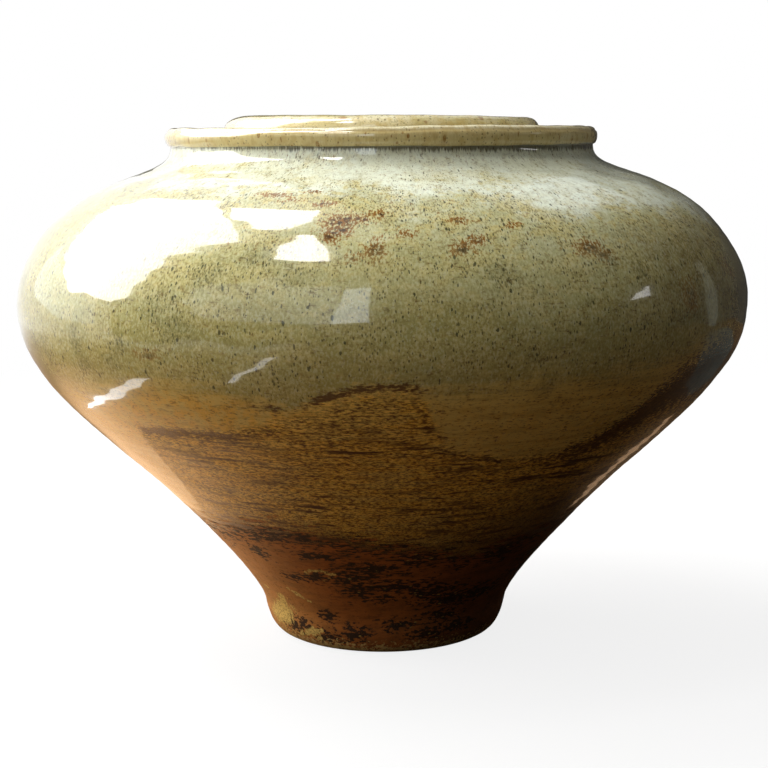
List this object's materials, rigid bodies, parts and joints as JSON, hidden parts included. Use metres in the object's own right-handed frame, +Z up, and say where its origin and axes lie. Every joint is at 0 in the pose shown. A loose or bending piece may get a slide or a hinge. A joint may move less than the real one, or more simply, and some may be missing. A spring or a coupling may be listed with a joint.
{
  "type": "lidded storage jar",
  "caption": "Squat, broad-shouldered glazed stoneware jar on a narrow foot, with a rolled rim and a loose flat lid lying in the gallery inside the rim.",
  "frame": {"origin": "centre of the foot ring, on the surface that the jar stands on", "axes": "+Z up along the axis that the jar was turned about; the picture looks along +Y, with +X to its right"},
  "size_m": [0.4, 0.4, 0.2869],
  "materials": {
    "jar_glaze": "gloss ash glaze, pale grey-green and speckled above, thinning to brown and bare red-brown clay towards the foot",
    "lid_glaze": "gloss ash glaze, cream to ochre, breaking brown on the rolled edge"
  },
  "bodies": {
    "jar": {"jar": "jar_glaze"},
    "lid": {"lid": "lid_glaze"}
  },
  "joints": [
    {"name": "lid_lift", "type": "slide", "parent": "jar", "child": "lid", "axis": [0, 0, 1], "range_m": [0, 0.16]}
  ]
}
